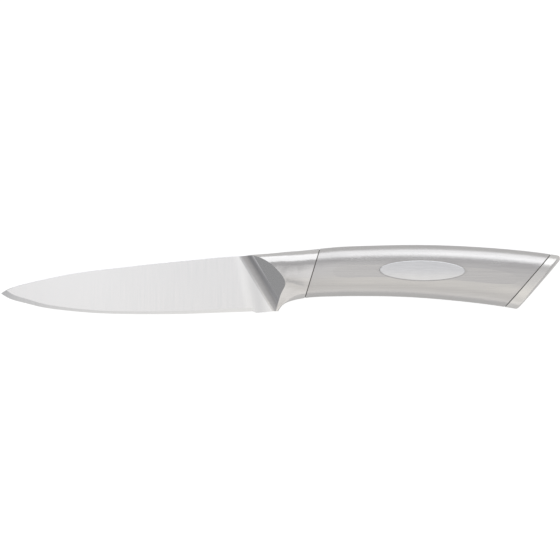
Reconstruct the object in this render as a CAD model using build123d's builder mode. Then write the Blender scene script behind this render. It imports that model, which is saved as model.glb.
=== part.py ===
from math import cos, pi, radians, sin, tan
import os

from build123d import *

os.makedirs("parts", exist_ok=True)

# Paring knife, all of stainless steel, lying on its far flank
# X runs from the tip to the butt, Y up the flank to the spine, Z out of the near flank

# Driving dimensions
overall_length = 226.4
blade_length = 115.0  # tip to the rounded front of the bolster
back_rise = 14.0  # back of the handle above the centre line, at its highest
edge_drop = 14.0  # cutting edge below the centre line, at its lowest
belly_drop = 11.8  # handle's lower corner at the butt below the centre line
grip_thickness = 15.5
bolster_length = 10.2  # its front to the slanted seam, on the centre line
cap_thickness = 4.27

# Blade
spine_thickness = 2.26  # at the heel
edge_thickness = 0.56  # behind the cutting bevel, at the heel
tip_thickness = 0.9
bevel_angle = 12
spine_break = 0.25
grind_radius = 10.0
ramp_angle = 35  # of the ground face that climbs to the bolster
crease_break = 3  # how much flatter the hollow ends, at the ramp's foot
crease_slant = 31  # of the ramp's foot, off square to the length
ramp_length = 6.4  # ramp's foot to the bolster's front, on the centre line
shoulder_length = 18.0  # bolster stock ahead of its front, which the grind runs out in
blank_thickness = 4.0
spine_stock = 0.15  # bolster stock left above the back line, for the spine's flat
stock_lap = 1.0  # blade stock's lap into the bolster stock

# Grip
bolster_slant = 16.9
cap_slant = 41.0
crown_depth = 9.6  # widest line below the back, in the bolster
fullness = 2.6  # exponent of the oval sections, 2 for an ellipse
crown_flat = 0.08  # ground off each flank's crown, where the knife lies on it
end_round = 1.3

# Joints of the handle
wall = 1.2
weld_width = 0.6
seam_gap = 0.25
seam_setback = 0.3
seam_break = 0.12
glue_gap = 0.15
fit_clearance = 0.02
tenon_length = 6.0
spigot_length = 5.0
spigot_wall = 1.5

# Tang, potted in the handle
tang_length = 55.0
tang_height = 8.0
tang_thickness = 3.5
tang_end_height = 6.0
tang_end_thickness = 2.8
tang_round = 0.8
tang_rise = 2.6  # above the centre line
key_hole = 3.0
key_place = 40.0  # behind the tenon
plug_length = 4.0
resin_cover = 3.0

# Badge
badge_length = 34.6
badge_height = 8.1
badge_proud = 0.36
badge_crown = 32.0  # radius of its bare face across the handle
badge_round = 0.3
badge_tilt = 0.8
badge_place = 55.4  # its middle behind the bolster's front
badge_rise = 3.69  # its middle above the centre line
pocket_clearance = 0.25
pocket_point = 0.9  # pointed end beyond the badge
pocket_depth = 0.76
pocket_floor = 1.0
badge_glue = 0.1

overrun = 3.0

# Side view: shares of the blade's length, the shoulder's or the grip's, and of the rise or drop
spine_shares = [
    (0.0, -0.402),
    (0.026, -0.27),
    (0.083, -0.121),
    (0.21, 0.113),
    (0.42, 0.353),
    (0.63, 0.535),
    (0.84, 0.692),
]
edge_shares = [
    (-0.012, 0.33),
    (0.0, 0.402),
    (0.026, 0.532),
    (0.083, 0.674),
    (0.14, 0.79),
    (0.21, 0.876),
    (0.315, 0.957),
    (0.42, 0.993),
    (0.52, 1.0),
    (0.63, 0.995),
    (0.74, 0.966),
    (0.886, 0.921),
]
heel_shares = [(0.9, 0.964), (0.93, 0.943), (0.956, 0.917)]
back_shares = [
    (-0.016, 0.784),
    (0.057, 0.833),
    (0.13, 0.895),
    (0.2, 0.946),
    (0.31, 0.978),
    (0.42, 1.0),
    (0.53, 0.998),
    (0.64, 0.968),
    (0.75, 0.914),
    (0.85, 0.846),
    (0.95, 0.75),
    (1.05, 0.62),
]
shoulder_belly_shares = [
    (-1.114, 2.65),
    (-0.557, 1.95),
    (-0.34, 1.58),
    (-0.223, 1.29),
    (-0.099, 0.955),
    (-0.012, 0.834),
]
belly_shares = [
    (0.028, 0.72),
    (0.071, 0.636),
    (0.163, 0.58),
    (0.31, 0.566),
    (0.44, 0.598),
    (0.583, 0.693),
    (0.693, 0.803),
    (0.805, 0.948),
    (0.9, 1.12),
    (1.05, 1.4),
]

# Sections of the grip: place, half thickness, and how far the lower half thins to a tail
shoulder_shares = [
    (-1.0, 0.66, 1.0),
    (-0.72, 0.71, 1.0),
    (-0.5, 0.75, 1.0),
    (-0.34, 0.78, 1.0),
    (-0.2, 0.803, 0.98),
    (-0.07, 0.825, 0.82),
]
grip_shares = [
    (0.008, 0.848, 0.6),
    (0.03, 0.872, 0.35),
    (0.06, 0.904, 0.1),
    (0.1, 0.942, 0.0),
    (0.15, 0.978, 0.0),
    (0.2, 0.998, 0.0),
    (0.26, 1.0, 0.0),
    (0.4, 1.0, 0.0),
    (0.53, 1.0, 0.0),
    (0.66, 1.0, 0.0),
    (0.78, 0.998, 0.0),
    (0.87, 0.985, 0.0),
    (1.04, 0.955, 0.0),
]
tail_width_share = 0.03
tail_power = 4.6  # how fast the tail thins, in the ovals' parametric form
section_points = 32
beak_share = 0.573  # height of the butt's furthest point, of the back's rise

# Places that follow from the sizes
tip_x = -overall_length / 2
front_x = tip_x + blade_length
grip_length = overall_length - blade_length
centre_y = (edge_drop - back_rise) / 2
mid_z = grip_thickness / 2
mid_plane = Plane.XY.offset(mid_z)
far = overall_length


def side_points(shares, start, length, height):
    return [(start + x * length, centre_y + y * height) for x, y in shares]


# The back line and the belly line, which every section of the grip reads its height from
spine_points = side_points(spine_shares, tip_x, blade_length, back_rise)
back_points = side_points(back_shares, front_x, grip_length, back_rise)
belly_points = side_points(shoulder_belly_shares, front_x, shoulder_length, -belly_drop)
belly_points += side_points(belly_shares, front_x, grip_length, -belly_drop)
back_line = Spline(*spine_points, *back_points)
belly_line = Spline(*belly_points)


def height_at(line, x):
    return line.find_intersection_points(Axis((x, 0, 0), (0, 1, 0)))[0].Y


def power(value, exponent):
    return abs(value) ** exponent * (1 if value > 0 else -1)


# One closed oval in the plane at x, with a fuller upper half and a tail below in the bolster
def section_loop(x, half_share, tail, inset):
    top = height_at(back_line, x) + tail * spine_stock
    bottom = height_at(belly_line, x)
    middle = (top + bottom) / 2
    crown = middle + tail * (top - crown_depth - middle)
    half = half_share * (grip_thickness / 2 + crown_flat) - inset
    points = []
    for step in range(section_points):
        angle = 2 * pi * step / section_points
        rise, out = cos(angle), sin(angle)
        oval_y, oval_z = power(rise, 2 / fullness), power(out, 2 / fullness)
        if rise > 0:
            y, z = oval_y * (top - crown - inset), oval_z
        else:
            thin = (1 - tail_width_share) * power(out, tail_power) + tail_width_share * oval_z
            y = (tail * rise + (1 - tail) * oval_y) * (crown - bottom - inset)
            z = tail * thin + (1 - tail) * oval_z
        points.append((crown + y, mid_z + z * half))
    return points


# The grip as one smooth body, inset from the finished surface
def grip_body(inset, with_shoulder=False):
    stations = [(front_x + x * grip_length, half, tail) for x, half, tail in grip_shares]
    if with_shoulder:
        ahead = [(front_x + x * shoulder_length, half, tail) for x, half, tail in shoulder_shares]
        stations = ahead + stations
    with BuildPart() as body:
        for x, half, tail in stations:
            with BuildSketch(Plane.YZ.offset(x)):
                with BuildLine():
                    Spline(*section_loop(x, half, tail, inset), periodic=True)
                make_face()
        loft()
    return body.part


# Planes square to the length but leaning with the seams
def slanted(x, slant):
    lean = radians(slant)
    return Plane(origin=(x, centre_y, mid_z), x_dir=(0, 0, 1), z_dir=(cos(lean), -sin(lean), 0))


bolster_face = slanted(front_x + bolster_length, bolster_slant)
shell_front = bolster_face.offset(seam_gap)
tenon_end = bolster_face.offset(tenon_length)
end_x = tip_x + overall_length - beak_share * back_rise * tan(radians(cap_slant))
end_face = slanted(end_x, cap_slant)
cap_front = end_face.offset(-cap_thickness)
shell_back = cap_front.offset(-seam_gap)
spigot_end = cap_front.offset(-spigot_length)

# Flank planes of the blade, through three points on each side, and the grind's profile plane
def flank_frame(side):
    heel_x = tip_x + heel_shares[0][0] * blade_length
    edge_y = centre_y - edge_shares[-1][1] * edge_drop
    spine_y = height_at(back_line, heel_x)
    low = Vector(heel_x, edge_y, mid_z + side * edge_thickness / 2)
    high = Vector(heel_x, spine_y, mid_z + side * spine_thickness / 2)
    tip = Vector(*spine_points[0], mid_z + side * tip_thickness / 2)
    normal = (high - low).cross(tip - low).normalized() * side
    lean = radians(crease_slant)
    drop = -(normal.X * sin(lean) - normal.Y * cos(lean)) / normal.Z
    crease = Vector(sin(lean), -cos(lean), drop).normalized()
    toward = normal.cross(crease) * side
    foot_x = front_x - ramp_length
    foot_z = low.Z - (normal.X * (foot_x - low.X) + normal.Y * (centre_y - low.Y)) / normal.Z
    return Plane(origin=(foot_x, centre_y, foot_z), x_dir=toward, z_dir=toward.cross(normal))


edge_points = side_points(edge_shares, tip_x, blade_length, -edge_drop)
heel_points = side_points(heel_shares, tip_x, blade_length, -edge_drop)
edge_line = Spline(*[(x, y, mid_z) for x, y in edge_points])
bevel_inward = Vector(0, 0, 1).cross(edge_line % 0)
blank_plane = mid_plane.offset(-blank_thickness / 2)
spine_end = (back_points[1][0], back_points[1][1] + 3 * spine_stock)

# The grip's body at the depths that its pieces share
forging_stock = grip_body(0, True)
groove_floor = grip_body(seam_setback)
bore = grip_body(wall)
filling = grip_body(wall + fit_clearance)
plug_fit = grip_body(wall + glue_gap)
spigot_bore = grip_body(wall + glue_gap + spigot_wall)
with BuildPart() as flattened:
    add(grip_body(0))
    split(bisect_by=mid_plane.offset(grip_thickness / 2), keep=Keep.BOTTOM)
    split(bisect_by=mid_plane.offset(-grip_thickness / 2), keep=Keep.TOP)
skin = flattened.part


# The stretch of a body between two planes
def stretch(body, start, end):
    with BuildPart() as piece:
        add(body)
        split(bisect_by=end, keep=Keep.BOTTOM)
        split(bisect_by=start, keep=Keep.TOP)
    return piece.part


tenon = stretch(plug_fit, bolster_face, tenon_end)
spigot = stretch(plug_fit, spigot_end, cap_front)

# Blade with its full bolster, heel and tenon, one forging
with BuildPart() as blade:
    add(forging_stock)
    split(bisect_by=bolster_face, keep=Keep.BOTTOM)

    # Flat stock of the blade, run into the bolster
    with BuildSketch(blank_plane):
        with Locations((front_x - shoulder_length + stock_lap, centre_y)):
            Rectangle(far, far, align=(Align.MAX, Align.CENTER))
    extrude(amount=blank_thickness)

    # Trimmed to the side view, outside the cutting edge by the overrun
    with BuildSketch(mid_plane.offset(-grip_thickness)):
        with BuildLine():
            spine = Spline(*spine_points, back_points[0], spine_end)
            below = Spline(*[(x, y - overrun) for x, y in edge_points[1:]])
            Line(spine @ 0, below @ 0)
            heel = Polyline(below @ 1, edge_points[-1], *heel_points)
            Polyline(heel @ 1, (far, heel_points[-1][1]), (far, far), spine @ 1)
        make_face()
    extrude(amount=2 * grip_thickness, mode=Mode.INTERSECT)

    # Flanks ground flat, with a hollow run-out and a ramp that climbs the bolster
    for side in (1, -1):
        with BuildSketch(flank_frame(side)):
            with BuildLine():
                flank = Line((-far, 0), (-grind_radius * sin(radians(ramp_angle)), 0))
                hollow = JernArc(flank @ 1, flank % 1, grind_radius, ramp_angle - crease_break)
                ramp = PolarLine(hollow @ 1, grip_thickness, ramp_angle)
                Polyline(ramp @ 1, (-far, (ramp @ 1).Y), flank @ 0)
            make_face()
        extrude(amount=far, both=True, mode=Mode.SUBTRACT)

    # Edges of the spine and of the seam broken
    upper = blade.edges().filter_by(lambda edge: edge.center().Y > centre_y)
    chamfer(upper.sort_by(Edge.length)[-2:], spine_break)
    chamfer(blade.edges().filter_by_position(Axis.X, front_x, far).sort_by(Edge.length)[-1], seam_break)

    # Cutting bevels, swept along the edge
    slope = tan(radians(bevel_angle))
    for side in (1, -1):
        with BuildSketch(Plane(origin=edge_line @ 0, x_dir=bevel_inward, z_dir=edge_line % 0)):
            with BuildLine():
                Polyline(
                    (-2 * overrun, -2 * overrun * slope * side),
                    (overrun, overrun * slope * side),
                    (overrun, blank_thickness * side),
                    (-2 * overrun, blank_thickness * side),
                    close=True,
                )
            make_face()
        sweep(path=edge_line, mode=Mode.SUBTRACT)
    add(tenon)

# Tang, a tapered bar welded to the end of the tenon, with a hole that keys it into the resin
tang_start = front_x + bolster_length
tang_end = tang_start + tenon_length + tang_length
with BuildPart() as tang:
    with BuildSketch(Plane.YZ.offset(tang_start)):
        with Locations((centre_y + tang_rise, mid_z)):
            RectangleRounded(tang_height, tang_thickness, tang_round)
    with BuildSketch(Plane.YZ.offset(tang_end)):
        with Locations((centre_y + tang_rise, mid_z)):
            RectangleRounded(tang_end_height, tang_end_thickness, tang_round)
    loft()
    split(bisect_by=tenon_end, keep=Keep.TOP)
    with Locations((tang_start + tenon_length + key_place, centre_y + tang_rise, mid_z)):
        Hole(radius=key_hole / 2)

# Handle casing: both half shells and their welds before they are parted
with BuildPart() as casing:
    add(stretch(skin, shell_front, shell_back))
    ends = casing.faces().filter_by(GeomType.PLANE).filter_by(Axis.Z, reverse=True)
    chamfer(ends.edges(), seam_break)
    add(bore, mode=Mode.SUBTRACT)
near_side = mid_plane.offset(weld_width / 2)
far_side = mid_plane.offset(-weld_width / 2)

# Near half shell, with the badge's pocket and the boss behind its floor
pocket = Plane(
    origin=(front_x + badge_place, centre_y + badge_rise, mid_z + grip_thickness / 2 - pocket_depth),
    x_dir=(cos(radians(badge_tilt)), -sin(radians(badge_tilt)), 0),
    z_dir=(0, 0, 1),
)
half_length = badge_length / 2 + pocket_clearance
half_height = badge_height / 2 + pocket_clearance
point_x = half_length + pocket_point
touch_x = half_length**2 / point_x
touch_y = half_height * (1 - (touch_x / half_length) ** 2) ** 0.5
with BuildPart() as handle_shell_near:
    add(casing.part)
    split(bisect_by=near_side, keep=Keep.TOP)
    with BuildSketch(pocket.offset(-pocket_floor)):
        Ellipse(half_length + pocket_floor, half_height + pocket_floor)
    extrude(amount=pocket_floor)
    with BuildSketch(pocket):
        Ellipse(half_length, half_height)
        with BuildLine():
            Polyline((-point_x, 0), (-touch_x, -touch_y), (touch_x, -touch_y), (point_x, 0))
            Polyline((point_x, 0), (touch_x, touch_y), (-touch_x, touch_y), (-point_x, 0))
        make_face()
    extrude(amount=overrun, mode=Mode.SUBTRACT)

# Far half shell, plain
with BuildPart() as handle_shell_far:
    add(casing.part)
    split(bisect_by=far_side, keep=Keep.BOTTOM)

# Welds that close the casing along the back and the belly, ground flush
between_welds = Plane(origin=(front_x, centre_y + badge_rise, mid_z), z_dir=(0, 1, 0))
with BuildPart() as spine_weld:
    add(stretch(casing.part, far_side, near_side))
    split(bisect_by=between_welds, keep=Keep.TOP)
with BuildPart() as belly_weld:
    add(stretch(casing.part, far_side, near_side))
    split(bisect_by=between_welds, keep=Keep.BOTTOM)

# Resin cast round the tang, and the plug that dams it
plug_front = Plane.YZ.offset(tang_end + resin_cover)
plug_back = plug_front.offset(plug_length)
with BuildPart() as tang_resin:
    add(stretch(filling, tenon_end, plug_front))
    add(tang.part, mode=Mode.SUBTRACT)
    with BuildSketch(pocket.offset(-pocket_floor)):
        Ellipse(half_length + pocket_floor, half_height + pocket_floor)
    extrude(amount=grip_thickness, mode=Mode.SUBTRACT)
with BuildPart() as resin_plug:
    add(stretch(filling, plug_front, plug_back))

# End cap with its leaning face, beak and hollow spigot
with BuildPart() as end_cap:
    add(stretch(skin, cap_front, end_face))
    fillet(end_cap.faces().filter_by(GeomType.PLANE).sort_by(Axis.X)[-1].edges(), end_round)
    chamfer(end_cap.faces().filter_by(GeomType.PLANE).sort_by(Axis.X)[0].edges(), seam_break)
    add(spigot)
    add(stretch(spigot_bore, spigot_end, cap_front), mode=Mode.SUBTRACT)

# Adhesive of each seam: a flange set back in the groove and a sleeve round the plug
with BuildPart() as bolster_adhesive:
    add(stretch(groove_floor, bolster_face, shell_front))
    add(stretch(filling, bolster_face, tenon_end))
    add(tenon, mode=Mode.SUBTRACT)
with BuildPart() as cap_adhesive:
    add(stretch(groove_floor, shell_back, cap_front))
    add(stretch(filling, spigot_end, cap_front))
    add(stretch(plug_fit, spigot_end, cap_front), mode=Mode.SUBTRACT)

# Badge, an oval plate with a bare crowned face, and the film that holds it
badge_section = Plane(origin=pocket.origin, x_dir=pocket.y_dir, z_dir=pocket.x_dir)
with BuildPart() as badge:
    with BuildSketch(pocket.offset(badge_glue)):
        Ellipse(badge_length / 2, badge_height / 2)
    extrude(amount=overrun)
    with BuildSketch(badge_section):
        with Locations((0, pocket_depth + badge_proud - badge_crown)):
            Circle(badge_crown)
    extrude(amount=badge_length, both=True, mode=Mode.INTERSECT)
    fillet(badge.faces().sort_by(Axis.Z)[-1].edges(), badge_round)
with BuildPart() as badge_adhesive:
    with BuildSketch(pocket):
        Ellipse(badge_length / 2 - pocket_clearance, badge_height / 2 - pocket_clearance)
    extrude(amount=badge_glue)

pieces = {
    "blade": blade,
    "tang": tang,
    "handle_shell_near": handle_shell_near,
    "handle_shell_far": handle_shell_far,
    "spine_weld": spine_weld,
    "belly_weld": belly_weld,
    "tang_resin": tang_resin,
    "resin_plug": resin_plug,
    "end_cap": end_cap,
    "bolster_adhesive": bolster_adhesive,
    "cap_adhesive": cap_adhesive,
    "badge": badge,
    "badge_adhesive": badge_adhesive,
}
for name, piece in pieces.items():
    piece.part.label = name
    export_step(piece.part, f"parts/{name}.step")
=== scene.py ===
import math

import bmesh
import bpy
from mathutils import Matrix, Vector, kdtree


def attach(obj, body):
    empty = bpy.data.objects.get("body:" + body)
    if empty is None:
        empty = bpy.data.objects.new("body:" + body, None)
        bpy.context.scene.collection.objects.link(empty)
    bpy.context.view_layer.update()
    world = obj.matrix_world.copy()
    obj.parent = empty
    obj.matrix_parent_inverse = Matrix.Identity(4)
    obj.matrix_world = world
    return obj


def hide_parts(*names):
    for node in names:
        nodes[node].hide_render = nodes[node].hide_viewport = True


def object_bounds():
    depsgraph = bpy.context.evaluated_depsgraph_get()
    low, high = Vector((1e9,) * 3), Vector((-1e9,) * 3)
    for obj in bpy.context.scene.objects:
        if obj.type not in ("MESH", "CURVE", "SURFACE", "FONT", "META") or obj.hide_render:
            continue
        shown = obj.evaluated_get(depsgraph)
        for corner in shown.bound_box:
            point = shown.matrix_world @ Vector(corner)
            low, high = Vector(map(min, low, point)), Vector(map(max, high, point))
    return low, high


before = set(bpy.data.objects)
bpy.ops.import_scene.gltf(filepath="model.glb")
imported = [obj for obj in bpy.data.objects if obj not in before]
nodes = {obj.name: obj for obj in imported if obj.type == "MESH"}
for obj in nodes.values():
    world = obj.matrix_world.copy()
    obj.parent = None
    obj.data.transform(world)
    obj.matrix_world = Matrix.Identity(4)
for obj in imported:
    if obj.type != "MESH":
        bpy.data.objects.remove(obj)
cad_low, cad_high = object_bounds()


# Blade. One forging of stainless steel with its full bolster. The flanks are ground flat and
# glazed, with a hollow and a ramp where the wheel ran out. The bolster is satin finished, the
# cutting bevel is honed, and the ramp's edge is broken by hand.


# An sRGB hex colour as Blender's linear one
def srgb(code):
    parts = [int(code[i : i + 2], 16) / 255 for i in (1, 3, 5)]
    linear = [p / 12.92 if p <= 0.04045 else ((p + 0.055) / 1.055) ** 2.4 for p in parts]
    return [*linear, 1.0]


# A shader node with its settings, its sockets' own values and its links
def add_node(tree, kind, inputs=None, links=None, **settings):
    node = tree.nodes.new(kind)
    for name, value in settings.items():
        setattr(node, name, value)
    for socket, value in (inputs or {}).items():
        node.inputs[socket].default_value = value
    for socket, source in (links or {}).items():
        tree.links.new(source, node.inputs[socket])
    return node


def new_material(name):
    material = bpy.data.materials.new(name)
    material.use_nodes = True
    tree = material.node_tree
    tree.nodes.clear()
    shader = add_node(tree, "ShaderNodeBsdfPrincipled")
    output = add_node(tree, "ShaderNodeOutputMaterial")
    tree.links.new(shader.outputs["BSDF"], output.inputs["Surface"])
    place = add_node(tree, "ShaderNodeTexCoord").outputs["Object"]
    return material, tree, shader, place


# Steel that a belt, wheel or stone has scratched, over broad faint smudges. The lines are drawn out
# along one axis, 0 to 2 for X to Z. Their spacing, run and depth are in metres.
def scratched_steel(
    name, dark, light, smooth, rough, spacing, run, axis, depth, anisotropy=0.0, around=None
):
    material, tree, shader, place = new_material(name)
    scale = [1 / spacing] * 3
    scale[axis] = 1 / run
    stretch = add_node(tree, "ShaderNodeMapping", {"Scale": scale}, {"Vector": place})
    scratches = add_node(
        tree,
        "ShaderNodeTexNoise",
        {"Scale": 1.0, "Detail": 3.0},
        {"Vector": stretch.outputs["Vector"]},
    )
    lines = scratches.outputs["Fac"]
    smudges_per_metre = 60.0  # each about 17 mm across, as wiping leaves them
    smudges = add_node(
        tree, "ShaderNodeTexNoise", {"Scale": smudges_per_metre, "Detail": 2.0}, {"Vector": place}
    )
    shade = add_node(tree, "ShaderNodeValToRGB", {}, {"Fac": lines})
    for stop, level, colour in zip(shade.color_ramp.elements, (0.25, 0.75), (dark, light)):
        stop.position = level
        stop.color = srgb(colour)
    wear = add_node(
        tree, "ShaderNodeMath", {}, {0: lines, 1: smudges.outputs["Fac"]}, operation="ADD"
    )
    gloss = add_node(
        tree,
        "ShaderNodeMapRange",
        {"From Min": 0.5, "From Max": 1.5, "To Min": smooth, "To Max": rough},
        {"Value": wear.outputs["Value"]},
    )
    bump = add_node(tree, "ShaderNodeBump", {"Strength": 1.0, "Distance": depth}, {"Height": lines})
    shader.inputs["Metallic"].default_value = 1.0
    shader.inputs["Anisotropic"].default_value = anisotropy
    tree.links.new(shade.outputs["Color"], shader.inputs["Base Color"])
    tree.links.new(gloss.outputs["Result"], shader.inputs["Roughness"])
    tree.links.new(bump.outputs["Normal"], shader.inputs["Normal"])
    if around:
        wrap = add_node(tree, "ShaderNodeTangent", direction_type="RADIAL", axis=around)
        tree.links.new(wrap.outputs["Tangent"], shader.inputs["Tangent"])
    return material


# Stainless blade steel, glazed on a fine belt: nearly a mirror, so it shows the room as one soft
# clear tone. The scratches run up the blade and are drawn 0.7 mm apart, coarser than real ones,
# which are too fine to show.
blade_steel = scratched_steel(
    "glazed_blade_steel", "#EFEFEF", "#F4F3F3", 0.13, 0.16, 0.0007, 0.03, 1, 0.0000001
)
# Where the flat of the flank turns up into the hollow the wheel left no edge, so the light fades
# from pale to dark. The rise grows along the knife, a little askew, up to the foot of the ramp.
hollow_way = (0.98, 0.2, 0.0)
hollow_from = -0.0171
hollow_to = -0.0037
hollow_rise = 0.00067
tree = blade_steel.node_tree
across = add_node(
    tree,
    "ShaderNodeVectorMath",
    {1: hollow_way},
    {0: tree.nodes["Texture Coordinate"].outputs["Object"]},
    operation="DOT_PRODUCT",
)
onset = add_node(
    tree,
    "ShaderNodeMapRange",
    {"From Min": hollow_from, "From Max": hollow_to, "To Min": 0.0, "To Max": hollow_rise},
    {"Value": across.outputs["Value"]},
    interpolation_type="SMOOTHSTEP",
)
run_out = add_node(
    tree,
    "ShaderNodeBump",
    {"Strength": 1.0, "Distance": 1.0},
    {"Height": onset.outputs["Result"], "Normal": tree.nodes["Bump"].outputs["Normal"]},
)
tree.links.new(run_out.outputs["Normal"], tree.nodes["Principled BSDF"].inputs["Normal"])

# Stainless bolster, satin finished: softer than the blade, so its lights have blurred edges and a
# faint warm tone. The lines run along the knife, drawn 0.5 mm apart, coarser than the real grit.
bolster_steel = scratched_steel(
    "satin_bolster_steel", "#DEDCDA", "#E6E4E2", 0.15, 0.19, 0.0005, 0.02, 0, 0.000001
)
# Ramp as the wheel ground it, not polished after: a flat grey, darker than the flank as painted
# shade for the dimmer part of the room that the ramp reflects. Its lines and those of the next two
# are drawn 0.4 to 0.5 mm apart, coarser than the real grit.
ramp_steel_and_painted_shade = scratched_steel(
    "ground_ramp_steel_and_painted_shade", "#B8B8B7", "#C2C2C1", 0.24, 0.3, 0.0005, 0.006, 2, 0.000001
)
# Cutting bevel off a honing stone: a thin pale line with no clear reflection
bevel_steel = scratched_steel(
    "honed_bevel_steel", "#F2F2F2", "#FAFAFA", 0.26, 0.32, 0.0004, 0.006, 1, 0.000001
)
# Edge of the ramp, broken with a fine stone: it catches light from every side
rim_steel = scratched_steel(
    "broken_edge_steel", "#F0F0EE", "#F8F8F6", 0.36, 0.42, 0.0005, 0.006, 2, 0.000001
)
blade_finishes = (blade_steel, bolster_steel, ramp_steel_and_painted_shade, bevel_steel, rim_steel)
flank_slot, bolster_slot, ramp_slot, bevel_slot, rim_slot = range(len(blade_finishes))

# A copy of the forging, which gets the broken edge and the finishes
bpy.ops.object.select_all(action="DESELECT")
blade = nodes["blade"].copy()
blade.data = nodes["blade"].data.copy()
bpy.context.scene.collection.objects.link(blade)
blade.name = "blade_forging"
blade.parent = None
blade.data.materials.clear()
for steel in blade_finishes:
    blade.data.materials.append(steel)
bpy.context.view_layer.objects.active = blade
blade.select_set(True)

# The normals of the forging's faces, kept by place before the copy's triangles are joined
same_point = 1e-7
corners = kdtree.KDTree(len(blade.data.loops))
corner_facts = {}
for face in blade.data.polygons:
    for loop in face.loop_indices:
        corners.insert(blade.data.vertices[blade.data.loops[loop].vertex_index].co, loop)
        corner_facts[loop] = (face.normal.copy(), blade.data.corner_normals[loop].vector.copy())
corners.balance()
bpy.ops.mesh.customdata_custom_splitnormals_clear()
bpy.ops.object.mode_set(mode="EDIT")
bpy.ops.mesh.select_mode(type="VERT")
bpy.ops.mesh.select_all(action="SELECT")
bpy.ops.mesh.remove_doubles(threshold=same_point)
bpy.ops.mesh.select_all(action="DESELECT")
bpy.ops.mesh.select_mode(type="EDGE")
bpy.ops.object.mode_set(mode="OBJECT")

# Tilts to the blade's middle plane in degrees, how far a face's normal looks along the knife, and
# places along the knife in metres
ramp_tilt = 36.2
ramp_tilt_spread = 0.3
bevel_tilt = 12.0
bevel_tilt_spread = 1.0
sharp_edge = 10.0
ramp_facing = -0.4
bolster_facing = -0.3
hollow_start = -0.0145
bolster_start = hollow_start + 0.003
bevel_end = hollow_start + 0.004


def lean(face):
    return math.degrees(math.acos(min(1.0, abs(face.normal.z))))


# True where a face is the ramp that the grinding wheel left at the bolster, on either flank
def is_ramp(face):
    return abs(lean(face) - ramp_tilt) < ramp_tilt_spread and face.normal.x < ramp_facing


# The ramp's edge, picked out and broken
mesh = bmesh.new()
mesh.from_mesh(blade.data)
for edge in mesh.edges:
    sides = edge.link_faces
    edge.select = (
        len(sides) == 2
        and is_ramp(sides[0]) != is_ramp(sides[1])
        and edge.calc_face_angle() > math.radians(sharp_edge)
        and all(v.co.x > hollow_start for v in edge.verts)
    )
mesh.to_mesh(blade.data)
mesh.free()
edge_break = 0.00045
bpy.ops.object.mode_set(mode="EDIT")
bpy.ops.mesh.bevel(
    offset=edge_break,
    offset_type="OFFSET",
    segments=2,
    profile=0.5,
    clamp_overlap=True,
    material=rim_slot,
)
bpy.ops.object.mode_set(mode="OBJECT")

# Each face gets its finish by its place and the way it faces
middle = (cad_low + cad_high) / 2
blade_half = 0.002
flank_facing = 0.998
for face in blade.data.polygons:
    face.use_smooth = True
    if face.material_index == rim_slot:
        continue
    in_blade = abs(face.center.z - middle.z) < blade_half
    on_flank = abs(face.normal.z) > flank_facing and in_blade
    on_bolster = face.center.x > bolster_start and face.normal.x > bolster_facing
    honed = abs(lean(face) - bevel_tilt) < bevel_tilt_spread and face.normal.y < 0
    if is_ramp(face):
        face.material_index = ramp_slot
    elif honed and face.center.x < bevel_end:
        face.material_index = bevel_slot
    else:
        face.material_index = bolster_slot if on_bolster and not on_flank else flank_slot

# The kept normals go back, each to the corner at its place whose face looks the same way. The
# corners that the break moved take theirs from a little further off.
touching = 1e-6
same_facing = 0.99
normals = [None] * len(blade.data.loops)
for face in blade.data.polygons:
    for loop in face.loop_indices:
        here = blade.data.vertices[blade.data.loops[loop].vertex_index].co
        near = corners.find_range(here, touching) or corners.find_range(here, 2 * edge_break)
        facts = [(corner_facts[i][0].dot(face.normal), -gap, i) for _, i, gap in near]
        match, gap, best = max(facts, default=(0.0, 0.0, None))
        normals[loop] = corner_facts[best][1] if match > same_facing else face.normal.copy()
blade.data.normals_split_custom_set(normals)
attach(blade, "root")
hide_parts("blade")


# Tang, resin and plug. A mild steel bar is welded to the back of the bolster, potted in amber
# resin that a plastic plug dams. All of it is hidden inside the handle.


def finish_node(name, material):
    nodes[name].data.materials.clear()
    nodes[name].data.materials.append(material)


# Cast or moulded plastic with a cloudy tone and a fine grain, its size and depth in metres
def plain_plastic(name, dark, light, smooth, rough, grain, depth):
    material, tree, shader, place = new_material(name)
    clouds_per_metre = 150.0  # each about 7 mm across
    clouds = add_node(
        tree, "ShaderNodeTexNoise", {"Scale": clouds_per_metre, "Detail": 3.0}, {"Vector": place}
    )
    shade = add_node(tree, "ShaderNodeValToRGB", {}, {"Fac": clouds.outputs["Fac"]})
    for stop, level, colour in zip(shade.color_ramp.elements, (0.3, 0.7), (dark, light)):
        stop.position = level
        stop.color = srgb(colour)
    grains = add_node(
        tree, "ShaderNodeTexNoise", {"Scale": 1 / grain, "Detail": 2.0}, {"Vector": place}
    )
    specks = grains.outputs["Fac"]
    gloss = add_node(
        tree,
        "ShaderNodeMapRange",
        {"From Min": 0.3, "From Max": 0.7, "To Min": smooth, "To Max": rough},
        {"Value": specks},
    )
    bump = add_node(
        tree, "ShaderNodeBump", {"Strength": 1.0, "Distance": depth}, {"Height": specks}
    )
    tree.links.new(shade.outputs["Color"], shader.inputs["Base Color"])
    tree.links.new(gloss.outputs["Result"], shader.inputs["Roughness"])
    tree.links.new(bump.outputs["Normal"], shader.inputs["Normal"])
    return material


# Mild steel as it left the mill: dull grey, with long drawing marks drawn coarse, 0.8 mm apart
tang_steel = scratched_steel(
    "mill_tang_steel", "#A09E9A", "#B2B0AC", 0.42, 0.55, 0.0008, 0.02, 0, 0.000004
)
finish_node("tang", tang_steel)

# Epoxy as poured: amber, uneven in tone, glossy between specks of trapped air 0.6 mm across
cast_resin = plain_plastic("cast_resin", "#B8965F", "#CBAD79", 0.3, 0.45, 0.0006, 0.00003)
finish_node("tang_resin", cast_resin)

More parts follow.
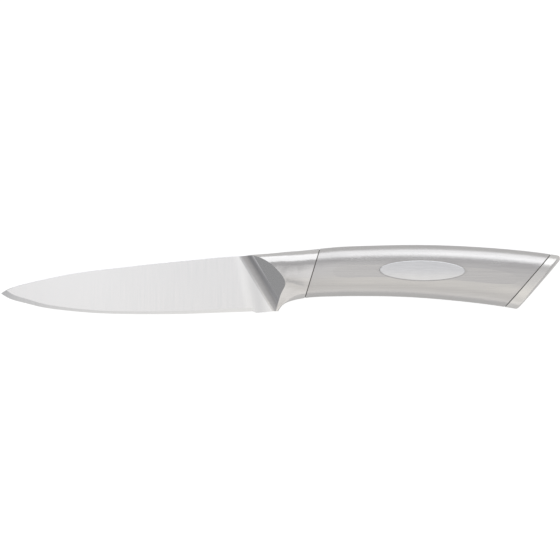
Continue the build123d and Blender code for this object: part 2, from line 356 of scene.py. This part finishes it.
# Polypropylene from a mould: off-white with the mould's even 0.4 mm grain
plug_plastic = plain_plastic("moulded_plug", "#DEDDD8", "#E8E7E3", 0.45, 0.55, 0.0004, 0.00001)
finish_node("resin_plug", plug_plastic)


# Handle shells. Two pressed half shells of stainless sheet, welded along the back and the belly,
# with the welds ground flush and all of it brushed along the handle's length.

# Brushed stainless: the light is drawn out round the handle in broad soft bands. The brush lines
# are drawn 0.5 mm apart, coarser than real ones, so that they show.
handle_steel = scratched_steel(
    "brushed_handle_steel", "#D0CECD", "#D8D6D4", 0.23, 0.29, 0.0005, 0.025, 0, 0.0000014, 0.5, "X"
)
for name in ("handle_shell_near", "handle_shell_far", "spine_weld", "belly_weld"):
    finish_node(name, handle_steel)


# Adhesive. Grey filled epoxy that bonds the bolster's tenon, the cap's spigot and the badge. It
# fills the two slanted seams and is wiped back below the steel.

# Filled epoxy, wiped: matt with 0.4 mm specks, grey of its own and darker still as painted shade
# of each seam's narrow gap, so a seam reads as one thin grey line
seam_adhesive_and_painted_shade = plain_plastic("seam_adhesive_and_painted_shade", "#54524F", "#605E5A", 0.55, 0.65, 0.0004, 0.00002)
for name in ("bolster_adhesive", "cap_adhesive", "badge_adhesive"):
    finish_node(name, seam_adhesive_and_painted_shade)


# End cap. A cast stainless cap with a leaning face and a hollow spigot, bonded into the shells and
# satin finished a little finer than they are.

# Satin stainless: paler than the shells, with soft lines 0.5 mm apart, drawn coarser than real
# ones so that they show
cap_steel = scratched_steel(
    "satin_cap_steel", "#E4E2DF", "#ECEAE7", 0.24, 0.3, 0.0005, 0.012, 0, 0.0000015, 0.3, "X"
)
finish_node("end_cap", cap_steel)


# Badge. A domed oval plate of stainless sheet, its rim rounded, bonded into a pocket in the near
# shell and standing a little proud of it.

# Buffed stainless, lightly handled: paler and cooler than the shell round it, with a broad glow.
# Its faint lines are drawn 0.6 mm apart, coarser than a buffing wheel's.
badge_steel = scratched_steel(
    "buffed_badge_steel", "#E6E6E7", "#EEEEEF", 0.22, 0.27, 0.0006, 0.004, 0, 0.0000008
)
finish_node("badge", badge_steel)


# Studio. A white table in a pale room, with plain soft boxes above, in front and behind, and a
# camera high above that looks straight down on the knife.

# Matt white laminate: a grey that takes the knife's shadow, lifted to white for the camera and
# half as much for what the steel reflects
white_table, tree, shader, place = new_material("white_table")
tree.nodes.remove(shader)
table_lift = 0.86
metal_share = 0.5
matt = add_node(tree, "ShaderNodeBsdfDiffuse", {"Color": srgb("#A0A0A0")})
rays = add_node(tree, "ShaderNodeLightPath")
in_metal = add_node(
    tree,
    "ShaderNodeMath",
    {1: metal_share},
    {0: rays.outputs["Is Glossy Ray"]},
    operation="MULTIPLY",
)
direct = add_node(
    tree,
    "ShaderNodeMath",
    {},
    {0: rays.outputs["Is Camera Ray"], 1: in_metal.outputs["Value"]},
    operation="ADD",
)
seen = add_node(
    tree,
    "ShaderNodeMath",
    {},
    {0: direct.outputs["Value"], 1: rays.outputs["Is Transmission Ray"]},
    operation="ADD",
)
lift = add_node(
    tree, "ShaderNodeMath", {1: table_lift}, {0: seen.outputs["Value"]}, operation="MULTIPLY"
)
white = add_node(tree, "ShaderNodeEmission", {}, {"Strength": lift.outputs["Value"]})
both = add_node(
    tree, "ShaderNodeAddShader", {}, {0: matt.outputs["BSDF"], 1: white.outputs["Emission"]}
)
tree.links.new(both.outputs["Shader"], tree.nodes["Material Output"].inputs["Surface"])
table_width = 6.0
bpy.ops.object.select_all(action="DESELECT")
bpy.ops.mesh.primitive_plane_add(size=table_width, location=(0, 0, cad_low.z))
table = bpy.context.object
table.name = "table"
table.data.materials.append(white_table)

frame_width = 0.2268
camera_height = 2.0
aim_x, aim_y = -0.000205, -0.00016
camera = bpy.data.cameras.new("camera")
camera.sensor_width = 36.0
camera.lens = camera.sensor_width * camera_height / frame_width
camera.clip_end = 20.0
eye = bpy.data.objects.new("camera", camera)
bpy.context.scene.collection.objects.link(eye)
eye.location = (aim_x, aim_y, middle.z + camera_height)
bpy.context.scene.camera = eye


# A rectangular lamp between two corners that faces the knife. Its radiance is what a mirror would
# show of it, whatever its size.
def soft_box(name, low, high, colour, radiance):
    centre = (Vector(low) + Vector(high)) / 2
    data = bpy.data.lights.new(name, "AREA")
    data.shape = "RECTANGLE"
    data.size = high[0] - low[0]
    data.size_y = math.hypot(high[1] - low[1], high[2] - low[2])
    data.color = srgb(colour)[:3]
    data.energy = math.pi * data.size * data.size_y * radiance
    lamp = bpy.data.objects.new(name, data)
    bpy.context.scene.collection.objects.link(lamp)
    lamp.location = centre
    lamp.visible_camera = False
    across = Vector((0, high[1] - low[1], high[2] - low[2])).normalized()
    out = Vector((1, 0, 0)).cross(across)
    if out.dot(centre) < 0:
        across, out = -across, -out
    lamp.rotation_euler = Matrix((Vector((1, 0, 0)), across, out)).transposed().to_euler()


soft_box("over_handle", (0.055, -0.14, 1.5), (0.8, 0.55, 1.5), "#FFFFFF", 0.19)
soft_box("over_blade", (-0.24, -0.14, 1.5), (0.054, 0.55, 1.5), "#FFFFFF", 0.36)
soft_box("over_tip", (-0.3, -0.4, 1.48), (-0.1, 0.2, 1.48), "#FFFFFF", 0.13)
soft_box("front_handle", (0.055, -0.85, 1.25), (0.9, -0.141, 1.5), "#FFFBF0", 0.47)
soft_box("front_blade", (-0.24, -0.85, 1.25), (0.054, -0.141, 1.5), "#FFFBF0", 0.34)
soft_box("front_low", (-0.5, -1.4, 0.1), (1.0, -0.86, 1.24), "#FFFBF0", 0.3)
soft_box("back", (0.0, 1.4, 0.74), (1.1, 1.4, 1.6), "#F9FCFF", 1.15)
soft_box("back_left", (-0.8, 1.4, 0.74), (0.0, 1.4, 1.6), "#F9FCFF", 0.75)
soft_box("back_low", (-0.8, 1.4, 0.05), (1.1, 1.4, 0.73), "#F9FCFF", 0.72)

# The room: pale walls, a darker ceiling, and an unlit corner high beyond the knife's tip that the
# hollow shows. Each pair says between which parts of a direction's X, Y or Z a change goes on.
wall_level = 0.62
ceiling_level = 0.5
corner_dimming = 0.24
wall_top = (0.3, 0.6)
corner_x = (-0.32, -0.8)
corner_y = (0.65, 0.4)
corner_z = (0.32, 0.5)
world = bpy.data.worlds.new("room")
bpy.context.scene.world = world
world.use_nodes = True
tree = world.node_tree
looking = add_node(tree, "ShaderNodeTexCoord").outputs["Generated"]
way = add_node(tree, "ShaderNodeSeparateXYZ", {}, {"Vector": looking})
past_tip = add_node(
    tree,
    "ShaderNodeMapRange",
    {"From Min": corner_x[0], "From Max": corner_x[1], "To Min": 0.0, "To Max": 1.0},
    {"Value": way.outputs["X"]},
)
high_up = add_node(
    tree,
    "ShaderNodeMapRange",
    {"From Min": corner_z[0], "From Max": corner_z[1], "To Min": 0.0, "To Max": 1.0},
    {"Value": way.outputs["Z"]},
    interpolation_type="SMOOTHSTEP",
)
sideways = add_node(tree, "ShaderNodeMath", {}, {0: way.outputs["Y"]}, operation="ABSOLUTE")
in_line = add_node(
    tree,
    "ShaderNodeMapRange",
    {"From Min": corner_y[0], "From Max": corner_y[1], "To Min": 0.0, "To Max": 1.0},
    {"Value": sideways.outputs["Value"]},
)
upper_end = add_node(
    tree,
    "ShaderNodeMath",
    {},
    {0: past_tip.outputs["Result"], 1: high_up.outputs["Result"]},
    operation="MULTIPLY",
)
corner = add_node(
    tree,
    "ShaderNodeMath",
    {},
    {0: upper_end.outputs["Value"], 1: in_line.outputs["Result"]},
    operation="MULTIPLY",
)
dim = add_node(
    tree,
    "ShaderNodeMapRange",
    {"To Min": 1.0, "To Max": corner_dimming},
    {"Value": corner.outputs["Value"]},
)
walls = add_node(
    tree,
    "ShaderNodeMapRange",
    {
        "From Min": wall_top[0],
        "From Max": wall_top[1],
        "To Min": wall_level,
        "To Max": ceiling_level,
    },
    {"Value": way.outputs["Z"]},
)
light = add_node(
    tree,
    "ShaderNodeMath",
    {},
    {0: walls.outputs["Result"], 1: dim.outputs["Result"]},
    operation="MULTIPLY",
)
room = tree.nodes["Background"]
room.inputs["Color"].default_value = srgb("#FCFCFF")
tree.links.new(light.outputs["Value"], room.inputs["Strength"])

bpy.context.scene.view_settings.view_transform = "Standard"
